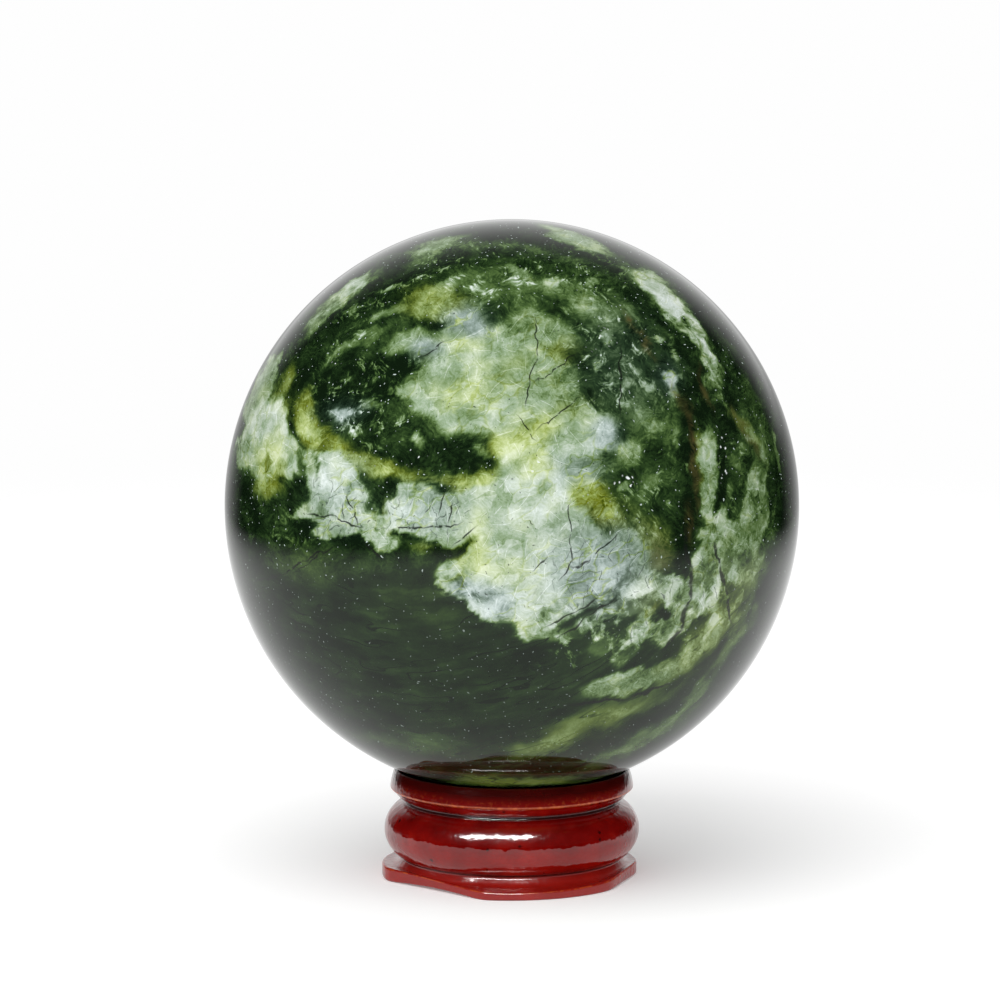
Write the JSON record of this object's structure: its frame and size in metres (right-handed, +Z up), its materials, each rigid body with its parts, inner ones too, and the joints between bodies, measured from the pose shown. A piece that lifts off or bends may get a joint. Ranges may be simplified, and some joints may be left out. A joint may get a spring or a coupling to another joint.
{
  "type": "decorative stone ball on a ring stand",
  "caption": "Polished green stone ball with white clouding, resting on a low turned ring stand of red lacquered wood with a lobed foot; a tabletop ornament.",
  "frame": {"origin": "on the surface that the stand rests on, under the centre of the ball", "axes": "+Z up; -Y is the front shown in the picture; +X is to the right from the front"},
  "size_m": [0.08, 0.08, 0.0922],
  "materials": {
    "polished_stone": "high polish, dark green with white and yellow-green clouding",
    "red_lacquer": "glossy hand-brushed deep red lacquer over turned wood"
  },
  "bodies": {
    "root": {"stone_ball": "polished_stone", "ring_stand": "red_lacquer"}
  },
  "joints": []
}
